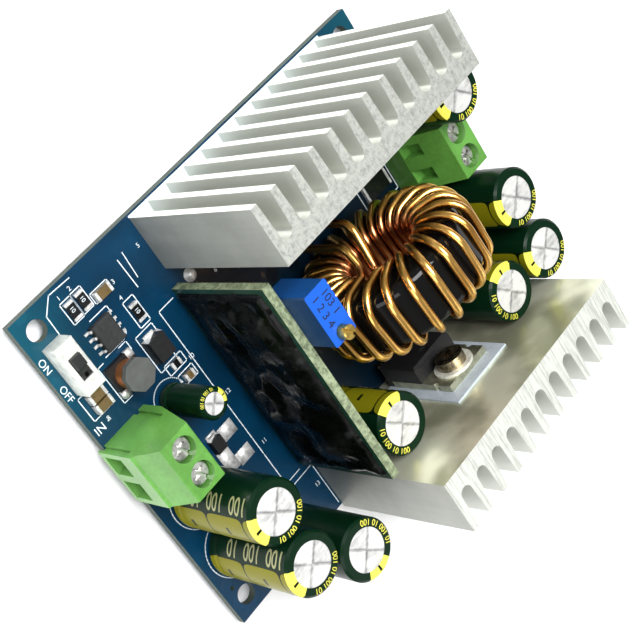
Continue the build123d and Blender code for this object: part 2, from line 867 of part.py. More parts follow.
def capacitor(name, x, y, turn, radius, top, pitch):
    """Electrolytic capacitor: a scored can on two leads, and the sleeve shrunk round it."""
    base = spot(x, y, 0, turn)
    with BuildPart() as can:
        with BuildSketch(standing(base)):
            with BuildLine():
                Polyline(*can_outline(radius, top), close=True)
            make_face()
        revolve(axis=Axis(base.origin, base.z_dir))
        whole = can.part
        with BuildSketch(base.offset(top).rotated((0, 0, 45))):
            Rectangle(1.2 * radius, 0.06 * radius)
            Rectangle(0.06 * radius, 1.2 * radius)
        extrude(amount=-score_depth, mode=Mode.SUBTRACT)
        with BuildSketch(base.offset(cap_lift)):
            with GridLocations(pitch, 0, 2, 1):
                Circle(cap_lead_d / 2)
        extrude(amount=-cap_lift - board_t - lead_below)
    write(can.part, f"capacitor_{name}")
    with BuildPart() as sleeve:
        with BuildSketch(standing(base)):
            with BuildLine():
                Polyline(*can_outline(radius, top, sleeve_t), close=True)
            make_face()
        revolve(axis=Axis(base.origin, base.z_dir))
        with BuildSketch(base):
            Circle(radius * (1 - sleeve_lip_share))
        extrude(amount=top + 1, mode=Mode.SUBTRACT)
        add(whole, mode=Mode.SUBTRACT)
    write(sleeve.part, f"sleeve_{name}")


def chips():
    """Chip resistors and chip capacitors, each with its tinned ends."""
    for name, places in (("chip_resistors", chip_resistors), ("chip_capacitors", chip_capacitors)):
        with BuildPart() as chip:
            for x, y, length, width, height, turn in places:
                with BuildSketch(spot(x, y, 0, turn)):
                    Rectangle(length, width)
                extrude(amount=height)
                with BuildSketch(spot(x, y, height, turn)):
                    Rectangle(length - 2 * chip_end, width)
                extrude(amount=-0.05, mode=Mode.SUBTRACT)
        write(chip.part, name)


def surface_diodes():
    """Moulded diodes with a metal tab folded under each end."""
    with BuildPart() as parts:
        for x, y, length, width, height, turn in diodes:
            with BuildSketch(spot(x, y, 0.15, turn)):
                Rectangle(length, width)
            extrude(amount=height - 0.15, taper=5)
            with BuildSketch(spot(x, y, 0, turn)):
                Rectangle(length + 2 * diode_tab, 0.6 * width)
            extrude(amount=0.3)
    write(parts.part, "surface_diodes")


def driver_chip():
    """Eight-lead chip: a moulded body on gull-wing leads."""
    base = spot(*driver_place)
    with BuildPart() as chip:
        with BuildSketch(base.offset(0.15)):
            Rectangle(driver_l, driver_w)
        extrude(amount=driver_t)
        chamfer(chip.edges().group_by(Axis.Z)[-1], 0.2)
        with BuildSketch(base.offset(0.15 + driver_t)):
            with Locations((-driver_l / 2 + 0.9, -driver_w / 2 + 0.9)):
                Circle(0.35)
        extrude(amount=-0.08, mode=Mode.SUBTRACT)
        for i in range(4):
            x = (i - 1.5) * driver_lead_pitch
            with BuildSketch(across(base, x - driver_lead_w / 2)):
                for side in (-1, 1):
                    reach = side * driver_span / 2
                    knee = side * (driver_w / 2 + 0.35)
                    with BuildLine():
                        Polyline(
                            (reach, 0),
                            (knee - side * 0.1, 0),
                            (knee - side * 0.2, 0.7),
                            (0, 0.7),
                            (0, 0.7 + driver_lead_t),
                            (knee, 0.7 + driver_lead_t),
                            (knee + side * 0.1, driver_lead_t),
                            (reach, driver_lead_t),
                            close=True,
                        )
                    make_face()
            extrude(amount=driver_lead_w)
    write(chip.part, "driver_chip")


def drum_choke():
    """Small drum choke: a ferrite bobbin with a square foot, and its copper coil."""
    base = spot(*choke_place)
    with BuildPart() as drum:
        with BuildSketch(base):
            Rectangle(choke_d, choke_d)
        extrude(amount=choke_flange)
        with BuildSketch(base.offset(choke_flange)):
            Circle(choke_post_d / 2)
        extrude(amount=choke_h - choke_flange)
        with BuildSketch(base.offset(choke_h - choke_flange).rotated((0, 0, 22.5))):
            RegularPolygon(choke_d / 2, 8)
        extrude(amount=choke_flange)
    write(drum.part, "choke_drum")
    with BuildPart() as coil:
        with BuildSketch(base.offset(choke_flange)):
            Circle(choke_d / 2 - 0.5)
            Circle(choke_post_d / 2, mode=Mode.SUBTRACT)
        extrude(amount=choke_h - 2 * choke_flange)
    write(coil.part, "choke_coil")


def build_all():
    """Every piece of the module, each written as its own node."""
    os.makedirs("parts", exist_ok=True)
    sink_bases = (
        spot(sink_left_face, sink_left_y, 0, -90),
        spot(sink_right_face, sink_right_y, 0, 90),
    )
    main_board()
    solder_joints()
    heatsink("heatsink_left", sink_bases[0])
    heatsink("heatsink_right", sink_bases[1])
    sink_screws()
    pads(sink_bases)
    device("rectifier", sink_bases[0])
    device("transistor", sink_bases[1])
    device_screws(sink_bases)
    inductor_core()
    inductor_winding()
    control_board()
    control_compound()
    control_header()
    trimmer()
    terminal_bases = (spot(input_terminal_x, 0), spot(output_terminal_x, board_y, 0, 180))
    terminal("input", terminal_bases[0])
    terminal("output", terminal_bases[1])
    terminal_contacts(terminal_bases)
    slide_switch()
    for letter, (x, y, turn) in capacitors.items():
        capacitor(letter, x, y, turn, cap_r, cap_top, cap_pitch)
    capacitor("small", *small_cap, small_r, small_top, small_pitch)
    chips()
    surface_diodes()
    driver_chip()
    drum_choke()


build_all()
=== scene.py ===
"""Dresses the converter module: finishes on its solids, print on its board, wire on its core."""
import math
import random

import bmesh
import bpy
from bpy.props import FloatProperty, FloatVectorProperty, IntProperty, PointerProperty
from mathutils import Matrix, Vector, noise
from mathutils.bvhtree import BVHTree


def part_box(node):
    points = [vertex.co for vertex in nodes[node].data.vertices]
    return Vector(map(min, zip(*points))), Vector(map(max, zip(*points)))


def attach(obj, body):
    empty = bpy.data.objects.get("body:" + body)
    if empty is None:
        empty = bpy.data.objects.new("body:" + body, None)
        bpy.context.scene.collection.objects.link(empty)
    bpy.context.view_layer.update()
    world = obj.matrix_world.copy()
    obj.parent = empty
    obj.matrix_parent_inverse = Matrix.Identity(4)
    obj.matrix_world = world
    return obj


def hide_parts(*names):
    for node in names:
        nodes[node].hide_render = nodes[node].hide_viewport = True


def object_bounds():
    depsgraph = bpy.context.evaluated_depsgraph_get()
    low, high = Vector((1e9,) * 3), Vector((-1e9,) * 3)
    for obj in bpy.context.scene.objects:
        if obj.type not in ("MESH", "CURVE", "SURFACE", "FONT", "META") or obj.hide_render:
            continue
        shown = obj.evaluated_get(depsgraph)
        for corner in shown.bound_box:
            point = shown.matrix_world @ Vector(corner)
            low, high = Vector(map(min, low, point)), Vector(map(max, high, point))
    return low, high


bl_info = {
    "name": "Converter Module",
    "version": (1, 0, 0),
    "blender": (4, 5, 0),
    "location": "View3D > Sidebar > Module",
    "description": "Finishes and fine pieces of a step-down converter module",
    "category": "Object",
}

MM = 0.001
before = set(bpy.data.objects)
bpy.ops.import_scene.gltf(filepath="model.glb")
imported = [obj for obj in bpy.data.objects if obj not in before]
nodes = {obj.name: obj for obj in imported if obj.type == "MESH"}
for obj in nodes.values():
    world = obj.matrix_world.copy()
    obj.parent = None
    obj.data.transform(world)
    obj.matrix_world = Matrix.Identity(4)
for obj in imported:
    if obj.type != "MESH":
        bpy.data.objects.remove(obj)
cad_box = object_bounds()
board_low, board_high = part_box("main_board")
board_top = board_high.z
film_lift = 0.015 * MM


# ---------------------------------------------------------------- settings

def colour(name, description, default):
    """A colour that the user may change, as seen on screen."""
    return FloatVectorProperty(
        name=name, description=description, subtype="COLOR_GAMMA", size=3, min=0, max=1, default=default
    )


def length(name, description, default):
    """A length in metres that the user may change."""
    return FloatProperty(name=name, description=description, unit="LENGTH", default=default, precision=5)


class ModuleFinishes(bpy.types.PropertyGroup):
    """Colours of the module's finishes."""

    mask: colour("Board", "Solder mask of the main board", (0.01, 0.22, 0.34))
    print: colour("Print", "Legend printed on the board", (0.88, 0.92, 0.94))
    laminate: colour("Board edge", "Bare edge of the glass-fibre board", (0.24, 0.28, 0.25))
    sink: colour("Heatsinks", "Extruded aluminium", (0.84, 0.85, 0.82))
    wire: colour("Winding", "Enamelled copper wire", (1.0, 0.79, 0.43))
    sleeve: colour("Sleeves", "Capacitor sleeves", (0.02, 0.13, 0.065))
    stripe: colour("Stripes", "Negative stripe on the sleeves", (0.47, 0.46, 0.06))
    terminal: colour("Terminals", "Terminal housings", (0.38, 0.62, 0.265))
    trimmer: colour("Trimmer", "Trimmer housing", (0.09, 0.34, 0.75))
    compound: colour("Compound", "Sealing compound on the control board", (0.015, 0.02, 0.015))


class ModuleSizes(bpy.types.PropertyGroup):
    """Sizes of the pieces made here."""

    wire_diameter: length("Wire", "Diameter of the enamelled wire", 1.4 * MM)
    wire_turns: IntProperty(name="Turns", description="Turns round the core", default=25, min=3)
    ring_turn: FloatProperty(
        name="Ring turn", description="Turn of the ring about the upright", subtype="ANGLE",
        default=math.radians(5),
    )
    print_width: length("Print width", "Width of a printed line", 0.17 * MM)
    print_height: length("Print height", "Thickness of the print", 0.02 * MM)


class ModuleStage(bpy.types.PropertyGroup):
    """Camera, lamps and floor."""

    camera_place: FloatVectorProperty(
        name="Camera", description="Place of the camera", unit="LENGTH", size=3,
        default=(-96.77 * MM, -105.99 * MM, 188.33 * MM),
    )
    camera_turn: FloatVectorProperty(
        name="Camera turn", description="Turn of the camera", subtype="EULER", size=3,
        default=(math.radians(-1.497), math.radians(-38.574), math.radians(49.485)),
    )
    lens: FloatProperty(name="Lens", description="Focal length", unit="CAMERA", default=78.535)
    key: FloatProperty(name="Key lamp", description="Power of the main lamp", unit="POWER", default=3.4)
    fill: FloatProperty(name="Fill lamp", description="Power of the side lamps", unit="POWER", default=0.9)
    sky: FloatProperty(name="Sky", description="Strength of the even light", default=0.30)
    floor: colour("Floor", "Pale floor", (0.98, 0.98, 0.98))


def finishes():
    """The colours in use."""
    return bpy.context.scene.module_finishes


def sizes():
    """The sizes in use."""
    return bpy.context.scene.module_sizes


# ---------------------------------------------------------------- shader expressions

def linear(shown):
    """A colour as the shader wants it, from one as it is seen on screen."""
    parts = [c / 12.92 if c <= 0.04045 else ((c + 0.055) / 1.055) ** 2.4 for c in shown]
    return (*parts, 1.0)


def toned(tone, *factors):
    """A shader colour with its parts scaled, by one factor or by three, and none above 1."""
    each = factors if len(factors) == 3 else factors * 3
    return (*(min(1.0, part * factor) for part, factor in zip(tone, each)), 1)


class Shade:
    """A socket of a material's nodes that takes part in Python expressions."""

    def __init__(self, tree, socket=None):
        self.tree = tree
        self.socket = socket

    def node(self, kind, settings=None, values=None, output=0):
        """One node: its settings first, then the values or links of its sockets."""
        made = self.tree.nodes.new("ShaderNode" + kind)
        for key, value in (settings or {}).items():
            setattr(made, key, value)
        for key, value in (values or {}).items():
            if isinstance(value, Shade):
                self.tree.links.new(value.socket, made.inputs[key])
            else:
                made.inputs[key].default_value = value
        return Shade(self.tree, made.outputs[output])

    def math(self, operation, *others):
        """One Math node on this value and the others."""
        return self.node("Math", {"operation": operation}, dict(enumerate((self, *others))))

    def __add__(self, other):
        return self.math("ADD", other)

    def __sub__(self, other):
        return self.math("SUBTRACT", other)

    def __mul__(self, other):
        return self.math("MULTIPLY", other)

    def __truediv__(self, other):
        return self.math("DIVIDE", other)

    def __rsub__(self, other):
        return self.node("Math", {"operation": "SUBTRACT"}, {0: other, 1: self})

    def __rtruediv__(self, other):
        return self.node("Math", {"operation": "DIVIDE"}, {0: other, 1: self})

    __radd__ = __add__
    __rmul__ = __mul__

    def __gt__(self, other):
        return self.math("GREATER_THAN", other)

    def __lt__(self, other):
        return self.math("LESS_THAN", other)

    def __or__(self, other):
        return self.math("MAXIMUM", other)

    def __and__(self, other):
        return self.math("MINIMUM", other)

    def step(self, low, high):
        """0 below low, 1 above high, and a smooth slope between."""
        values = {"Value": self, "From Min": low, "From Max": high}
        return self.node("MapRange", {"interpolation_type": "SMOOTHSTEP"}, values)

    def blend(self, first, second):
        """The first colour where this mask is 0, the second where it is 1."""
        return self.node("Mix", {"data_type": "RGBA"}, {0: self, 6: first, 7: second}, 2)

    def place(self):
        """The point's place in the module's frame, in metres."""
        return self.node("TexCoord", output=3)

    def parts(self):
        """The three parts of a vector."""
        made = self.node("SeparateXYZ", values={0: self}).socket.node
        return [Shade(self.tree, made.outputs[i]) for i in range(3)]

    def facing(self):
        """The three parts of the surface's direction."""
        return self.node("NewGeometry", output=1).parts()

    def stretched(self, x, y, z):
        """This place with each direction scaled."""
        return self.node("VectorMath", {"operation": "MULTIPLY"}, {0: self, 1: (x, y, z)})

    def grain(self, scale, detail=3.0, roughness=0.55):
        """Noise from 0 to 1 over this place."""
        values = {"Vector": self, "Scale": scale, "Detail": detail, "Roughness": roughness}
        return self.node("TexNoise", values=values)

    def cells(self, scale):
        """Distance to the nearest of scattered points."""
        return self.node("TexVoronoi", values={"Vector": self, "Scale": scale})


def material(name, surface, **fixed):
    """A material: surface gives the varying sockets, and fixed the plain ones."""
    made = bpy.data.materials.new(name)
    made.use_nodes = True
    tree = made.node_tree
    tree.nodes.clear()
    start = Shade(tree)
    varying = surface(start)
    bump = varying.pop("bump", None)
    if bump:
        height, depth = bump
        varying["Normal"] = start.node("Bump", values={"Height": height, "Distance": depth, "Strength": 1.0})
    values = {key.replace("_", " ").title().replace("Ior", "IOR"): value for key, value in fixed.items()}
    shader = start.node("BsdfPrincipled", values={**values, **varying})
    output = tree.nodes.new("ShaderNodeOutputMaterial")
    tree.links.new(shader.socket, output.inputs["Surface"])
    return made


# ---------------------------------------------------------------- materials

def solder_mask():
    """Glossy blue mask, with painted shadow, nearly black, between the heatsinks, painted light as a paler
    teal at the left corners, and white print under the left heatsink.
    """
    low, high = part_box("heatsink_left")
    far_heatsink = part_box("heatsink_right")[0].x
    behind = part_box("control_board")[1].y
    painted_light_teal = linear((0.10, 0.42, 0.46))
    # painted shadow: nearly black colour for the board between the heatsinks
    black = (0.0012, 0.0025, 0.0035, 1)

    def surface(s):
        place = s.place()
        x, y = place.parts()[:2]
        cloudy = place.grain(70, 2)
        tracks = place.stretched(1, 1, 0).cells(240)
        copper = tracks.step(0.30, 0.36)
        tone = linear(finishes().mask)
        deep = toned(tone, 0.55)
        body = cloudy.step(0.35, 0.7).blend(deep, tone)
        # painted light: a paler teal at the two left corners
        at_ends = y.math("ABSOLUTE").step(28 * MM, 42 * MM)
        corners = at_ends * x.step(board_low.x + 30 * MM, board_low.x + 2 * MM)
        body = (corners * 0.4).blend(body, painted_light_teal)
        # painted shadow: past the left heatsink and behind the control board, short of the right heatsink
        past_heatsink = x.step(high.x - 2 * MM, high.x + 3 * MM)
        between = past_heatsink * y.step(behind - 1 * MM, behind + 4 * MM) * (x < far_heatsink)
        body = (between * 0.9).blend(body, black)
        field = (x < high.x) * (x > low.x - 0.3 * MM) * (y > low.y) * (y < high.y)
        masked = (copper * 0.2).blend(body, deep)
        return {"Base Color": field.blend(masked, linear(finishes().print)), "bump": (copper, 0.02 * MM)}
    return material(
        "board_mask", surface, roughness=0.3, specular_ior_level=0.25, coat_weight=0.1, coat_roughness=0.1
    )


def laminate():
    """Cut edge of glass-fibre board."""
    def surface(s):
        place = s.place()
        strands = place.stretched(1, 1, 6).grain(900, 4)
        tone = linear(finishes().laminate)
        pale = toned(tone, 1.5)
        return {"Base Color": strands.step(0.3, 0.7).blend(tone, pale), "bump": (strands, 0.04 * MM)}
    return material("laminate", surface, roughness=0.7)


def aluminium(name, node, sawn_lines, painted_reflection_face):
    """Extruded aluminium: dull along its length, sawn bright at its ends, painted brighter past its end face
    as painted bounce light, and, if asked, with painted reflection and painted highlights in patches on its
    flat face.
    """
    end_depth = 0.3 * MM
    near_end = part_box(node)[0].y + end_depth

    def surface(s):
        place = s.place()
        x, _, z = s.facing()
        sawn = z > 0.7
        outward = x < -0.7
        blots = place.stretched(1, 1, 0).grain(1050, 5, 0.8)
        lines = place.stretched(0.08, 1, 1).grain(2600, 3, 0.6)
        marks = (lines * sawn_lines + blots * (1.0 - sawn_lines)).step(0.30, 0.60)
        drawn = place.stretched(1, 1, 0.04).grain(1300, 3, 0.6)
        cloudy = place.grain(150, 4, 0.6)
        soft = place.grain(75, 2, 0.5)
        tone = linear(finishes().sink)
        pale = toned(tone, 1.25)
        dull = toned(tone, 0.48)
        even = toned(tone, 0.88)
        shiny = toned(tone, 0.66 + 0.62 * sawn_lines)
        grey = toned(tone, 0.30 + 0.60 * sawn_lines)
        # painted light: walls past the end face are painted brighter for light bounced between the fins, and
        # the end face keeps the darker tone
        painted_bounce_light = place.parts()[1] > near_end
        side = ((drawn * 0.3 + cloudy * 0.7).step(0.3, 0.7) * 0.3 + painted_bounce_light * 0.9).blend(dull, even)
        # painted reflection and painted highlights: olive patches with bright spots on the flat face
        spots = (soft * 0.8 + cloudy * 0.2).step(0.38, 0.60)
        painted_reflection = spots.blend((0.38, 0.39, 0.27, 1), (0.88, 0.89, 0.70, 1))
        face = outward.blend(side, painted_reflection) if painted_reflection_face else outward.blend(side, pale)
        relief = sawn * marks * 0.4 + (1 - sawn) * drawn * 0.12
        return {
            "Base Color": sawn.blend(face, marks.blend(grey, shiny)),
            "Roughness": sawn * 0.15 - outward * (0.12 * painted_reflection_face) + drawn * 0.1 + 0.4,
            "bump": (relief, 0.1 * MM),
        }
    return material(name, surface, metallic=0.6)


def bright_metal(name, shown, rough=0.25, wear=0.35, metal=1.0):
    """Plated or tinned metal with small dull patches."""
    def surface(s):
        place = s.place()
        patches = place.grain(700, 4, 0.65)
        tone = linear(shown)
        dark = toned(tone, wear)
        return {
            "Base Color": patches.step(0.32, 0.62).blend(dark, tone),
            "Roughness": patches * 0.25 + rough,
            "bump": (patches, 0.03 * MM),
        }
    return material(name, surface, metallic=metal)


def enamel():
    """Golden enamel over copper wire, with painted shade, redder and darker, in the eye of the ring."""
    low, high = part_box("inductor_core")
    centre = (low + high) / 2
    turn = sizes().ring_turn

    def surface(s):
        place = s.place()
        x, y, z = place.parts()
        cloudy = place.grain(120, 3)
        tone = linear(finishes().wire)
        dark = toned(tone, 0.72, 0.6, 0.45)
        across = (y - centre.y) * math.cos(turn) - (x - centre.x) * math.sin(turn)
        aside = (x - centre.x) * math.cos(turn) + (y - centre.y) * math.sin(turn)
        up = z - centre.z
        reach = (across * across + up * up).math("SQRT")
        outside = aside.math("ABSOLUTE").step(6.5 * MM, 8.5 * MM)
        # painted shade: the turns in the eye of the ring are painted redder and darker
        eye = (1 - reach.step(6.2 * MM, 9.5 * MM)) * (1 - outside) * 0.85
        return {
            "Base Color": eye.blend(cloudy.step(0.3, 0.62).blend(dark, tone), (0.42, 0.15, 0.07, 1)),
            "Roughness": cloudy * 0.1 + 0.20,
        }
    return material("enamelled_wire", surface, metallic=1.0, coat_weight=0.35, coat_roughness=0.15)


def moulding(name, shown, rough=0.5, fine=1800, depth=0.02, coat=0.0):
    """Moulded plastic or epoxy with a fine grain."""
    def surface(s):
        place = s.place()
        grain = place.grain(fine, 3)
        cloudy = place.grain(140, 2)
        tone = linear(shown)
        dark = toned(tone, 0.72)
        return {
            "Base Color": (grain * 0.4 + cloudy * 0.6).step(0.3, 0.65).blend(dark, tone),
            "Roughness": grain * 0.2 + (rough - 0.1),
            "bump": (grain, depth * MM),
        }
    return material(name, surface, coat_weight=coat, coat_roughness=0.1)


def sleeve_film(axis, turn, foot, head, radius):
    """Dark green sleeve with one pale stripe of fields and dashes."""
    stripe_half = math.radians(31)
    field = 9.4 * MM
    head_reach = radius * 0.9
    lip_height = 0.5 * MM

    def surface(s):
        x, y, z = s.place().parts()
        across = x - axis.x
        along = y - axis.y
        ahead = across * math.cos(turn) + along * math.sin(turn)
        aside = along * math.cos(turn) - across * math.sin(turn)
        angle = aside.math("ARCTAN2", ahead)
        lip = z > head - lip_height
        up = (z - foot) / field
        middle = up.math("FRACT") - 0.5
        lean = angle.math("ABSOLUTE") / stripe_half
        corner = (middle.math("ABSOLUTE") * 2).math("POWER", 7.0) + lean.math("POWER", 7.0)
        stripe = lean < 1.0
        line = stripe * (corner > 0.80) * (1 - lip)
        reach = (across * across + along * along).math("SQRT")
        tick = lip * (lean < 0.1) * (reach < head_reach)
        dash = (middle.math("ABSOLUTE") < 0.035) * (lean < 0.26) * (1 - lip)
        tone = linear(finishes().sleeve)
        pale = linear(finishes().stripe)
        bright = (0.74, 0.72, 0.10, 1)
        marked = stripe.blend(tone, lip.blend(pale, bright))
        wrinkle = s.place().grain(240, 2)
        return {
            "Base Color": (line | dash | tick).blend(marked, toned(tone, 0.4)),
            "bump": (wrinkle, 0.04 * MM),
        }
    return material(
        "printed_sleeve", surface, roughness=0.3, specular_ior_level=0.10,
        coat_weight=0.06, coat_roughness=0.06,
    )


def chip_glaze(name, shown):
    """Glazed body of a chip part."""
    return moulding(name, shown, rough=0.3, coat=0.4)


def printed():
    """White legend ink."""
    def surface(s):
        grain = s.place().grain(2200, 2)
        tone = linear(finishes().print)
        dull = toned(tone, 0.75)
        return {"Base Color": grain.step(0.3, 0.6).blend(dull, tone)}
    return material("print_ink", surface, roughness=0.55)


def poured():
    """Black sealing compound, poured and set glossy, with painted reflection as greyer, rougher smears."""
    def surface(s):
        place = s.place()
        # painted reflection: greyer smears in the colour, where the compound is also rougher
        painted_reflection_smear = place.stretched(1, 1, 0.6).grain(230, 4, 0.6)
        fine = place.grain(500, 2)
        tone = linear(finishes().compound)
        return {
            "Base Color": (painted_reflection_smear.step(0.60, 0.72) * 0.7).blend(tone, (0.035, 0.035, 0.036, 1)),
            "Roughness": painted_reflection_smear.step(0.42, 0.66) * 0.3 + 0.16,
            "bump": (fine, 0.015 * MM),
        }
    return material("sealing_compound", surface, specular_ior_level=0.14)


# ---------------------------------------------------------------- pieces

def placed(name, data):
    """An object in the scene that shows this data."""
    made = bpy.data.objects.new(name, data)
    bpy.context.scene.collection.objects.link(made)
    return made


def piece(name, points, faces, finish, smooth=False):
    """A mesh piece that rides with the board."""
    mesh = bpy.data.meshes.new(name)
    mesh.from_pydata([tuple(p) for p in points], [], faces)
    mesh.validate()
    mesh.update()
    if smooth:
        mesh.shade_smooth()
    mesh.materials.append(finish)
    made = placed(name, mesh)
    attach(made, "module")
    return made


def dress(node, *finish):
    """Gives a solid its finish in place of the plain one."""
    mesh = nodes[node].data
    mesh.materials.clear()
    for one in finish:
        mesh.materials.append(one)
    for face in mesh.polygons:
        face.material_index = 0
    return mesh


def board_point(x, y, z=0.0):
    """Point over the board's top face, from millimetres in from its corner."""
    return Vector((board_low.x + x * MM, board_low.y + y * MM, board_top + z * MM))


class Block:
    """Gathers boxes and ribbons into the points and faces of one piece."""

    def __init__(self):
        self.points = []
        self.faces = []

    def box(self, low, high):
        """A box from its low corner to its high one."""
        first = len(self.points)
        for z in (low[2], high[2]):
            self.points += [(low[0], low[1], z), (high[0], low[1], z)]
            self.points += [(high[0], high[1], z), (low[0], high[1], z)]
        shape = ((0, 3, 2, 1), (4, 5, 6, 7), (0, 1, 5, 4), (1, 2, 6, 5), (2, 3, 7, 6), (3, 0, 4, 7))
        self.faces += [tuple(first + i for i in face) for face in shape]

    def ribbon(self, places, width, height, closed=False):
        """A printed line through places on the board, in millimetres."""
        points = [Vector(p) for p in places]
        count = len(points)
        for i in range(count if closed else count - 1):
            a, b = points[i], points[(i + 1) % count]
            along = (b - a).normalized() * width / 2
            aside = Vector((-along.y, along.x))
            a, b = a - along, b + along
            first = len(self.points)
            for z in (0.0, height):
                for corner in (a - aside, b - aside, b + aside, a + aside):
                    self.points.append(board_point(corner.x, corner.y, z))
            shape = ((4, 5, 6, 7), (0, 1, 5, 4), (1, 2, 6, 5), (2, 3, 7, 6), (3, 0, 4, 7))
            self.faces += [tuple(first + i for i in face) for face in shape]


def arc(x, y, radius, start, end, count=24):
    """Points along an arc on the board, in millimetres and degrees."""
    turns = [math.radians(start + (end - start) * i / count) for i in range(count + 1)]
    return [(x + radius * math.cos(t), y + radius * math.sin(t)) for t in turns]


def frame_box(x0, y0, x1, y1):
    """Corners of a printed box, in millimetres."""
    return [(x0, y0), (x1, y0), (x1, y1), (x0, y1)]


# ---------------------------------------------------------------- operators

class MODULE_OT_board(bpy.types.Operator):
    """Finish the boards and print the legend"""
    bl_idname = "module.board"
    bl_label = "Board and legend"

    def execute(self, context):
        mesh = dress("main_board", solder_mask(), laminate(), bright_metal("plated_hole", (0.8, 0.8, 0.8)))
        outline_share = 0.86
        for face in mesh.polygons:
            if abs(face.normal.z) < 0.5:
                rim = max(abs(face.center.x) / board_high.x, abs(face.center.y) / board_high.y)
                face.material_index = 1 if rim > outline_share else 2
        dress("solder_joints", bright_metal("solder", (0.82, 0.82, 0.84), 0.18, 0.6))
        self.legend()
        self.lettering()
        return {"FINISHED"}

    def legend(self):
        """Outlines of the parts and a few short marks."""
        width = sizes().print_width / MM
        height = sizes().print_height / MM
        ink = Block()
        boxes = [
            frame_box(2.97, 8.6, 6.95, 10.85),
            frame_box(2.9, 10.9, 6.8, 13.1),
            frame_box(5.1, 13.45, 7.0, 17.2),
            frame_box(9.9, 16.9, 15.0, 19.2),
            frame_box(15.5, 15.1, 22.8, 18.9),
            frame_box(22.4, 16.1, 24.4, 20.0),
            frame_box(25.3, 16.9, 27.4, 20.3),
            frame_box(24.1, 64.9, 31.3, 73.2),
        ]
        lines = [
            [(0.9, 12.5), (0.7, 8.2), (2.9, 5.9), (6.2, 5.8)],
            [(4.3, 20.6), (9.7, 20.7)],
            [(3.9, 22.0), (8.5, 21.7)],
            [(15.8, 2.4), (15.8, 1.6), (20.3, 1.6), (20.3, 6.0), (17.4, 6.0)],
            [(14.6, 8.4), (14.6, 7.2), (21.8, 7.2), (21.8, 9.0)],
            [(14.6, 12.0), (14.6, 13.6), (16.2, 13.6)],
            [(8.2, 10.9), (8.2, 14.6), (9.0, 14.6)],
            [(14.2, 9.4), (14.2, 13.6)],
            [(46.5, 21.0), (15.2, 21.0), (15.2, 24.4)],
            [(46.5, 21.0), (53.8, 21.0), (53.8, 24.6)],
            [(55.0, 22.0), (55.0, 27.0), (64.3, 27.0)],
            [(55.4, 59.0), (55.4, 66.0)],
        ]
        for corners in boxes:
            ink.ribbon(corners, width, height, closed=True)
        for line in lines:
            ink.ribbon(line, width, height)
        ink.ribbon(arc(27.1, 13.9, 3.3, 100, 260), width, height)
        capacitor_ring = 5.55
        for name in sorted(n for n in nodes if n.startswith("capacitor_") and n != "capacitor_small"):
            low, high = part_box(name)
            x = ((low.x + high.x) / 2 - board_low.x) / MM
            y = ((low.y + high.y) / 2 - board_low.y) / MM
            ink.ribbon(arc(x, y, capacitor_ring, 0, 360, 48), width, height)
        piece("legend_lines", ink.points, ink.faces, printed())

    def lettering(self):
        """ON and OFF at the switch, the signs at the terminals, and the numbers of the parts."""
        ink = printed()
        words = [
            ("ON", 7.0, 0.3, 1.25, 0),
            ("OFF", 12.4, 0.3, 1.25, 0),
            ("IN", 22.5, 0.5, 1.5, 90),
            ("-", 22.4, 3.2, 2.0, 90),
            ("+", 36.2, 1.0, 2.0, 0),
            ("+", 20.0, 80.0, 2.0, 0),
            ("-", 33.0, 80.2, 2.0, 0),
        ]
        places = [
            (2.5, 8.9), (2.5, 11.2), (6.6, 17.6), (9.4, 17.0), (5.2, 24.6), (17.4, 33.2), (19.9, 37.1),
            (21.9, 3.4), (13.9, 14.2), (24.9, 20.4), (45.3, 21.9), (34.0, 21.9), (58.9, 25.2),
        ]
        words += [(str(i + 1), x, y, 0.85, 90) for i, (x, y) in enumerate(places)]
        for i, (word, x, y, tall, turn) in enumerate(words):
            write_flat(f"letters_{i}", word, board_point(x, y), tall, turn, ink)


def write_flat(name, word, place, tall, turn, ink):
    """A printed word lying on an upward face: height in millimetres, turn in degrees."""
    text = bpy.data.curves.new(name, "FONT")
    text.body = word
    size_over_height = 1.35
    text.size = tall * MM * size_over_height
    text.extrude = sizes().print_height / 2
    text.materials.append(ink)
    made = placed(name, text)
    made.location = place + Vector((0, 0, sizes().print_height / 2))
    made.rotation_euler.z = math.radians(turn)
    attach(made, "module")


def word_points(word, tall):
    """Flat points and faces of a short word, its size in millimetres."""
    text = bpy.data.curves.new("word", "FONT")
    text.body = word
    text.size = tall * MM
    text.offset = 0.01 * tall * MM
    holder = bpy.data.objects.new("word", text)
    flat = bpy.data.meshes.new_from_object(holder)
    bpy.data.objects.remove(holder)
    shape = bmesh.new()
    shape.from_mesh(flat)
    bmesh.ops.triangulate(shape, faces=shape.faces[:])
    for i in range(1, 8):
        whole = shape.verts[:] + shape.edges[:] + shape.faces[:]
        bmesh.ops.bisect_plane(shape, geom=whole, plane_co=(0, i * 0.1 * tall * MM, 0), plane_no=(0, 1, 0))
    shape.to_mesh(flat)
    shape.free()
    return [(v.co.x, v.co.y) for v in flat.vertices], [tuple(f.vertices) for f in flat.polygons]


class MODULE_OT_heatsinks(bpy.types.Operator):
    """Finish the heatsinks and their screws"""
    bl_idname = "module.heatsinks"
    bl_label = "Heatsinks"

    def execute(self, context):
        left = aluminium("sink_aluminium_left", "heatsink_left", sawn_lines=0.15, painted_reflection_face=False)
        # the right heatsink's flat face gets painted reflection and painted highlights
        right = aluminium("sink_aluminium_right", "heatsink_right", sawn_lines=0.8, painted_reflection_face=True)
        dress("heatsink_left", left)
        dress("heatsink_right", right)
        dress("heatsink_screws", bright_metal("plated_steel", (0.72, 0.7, 0.66)))
        return {"FINISHED"}


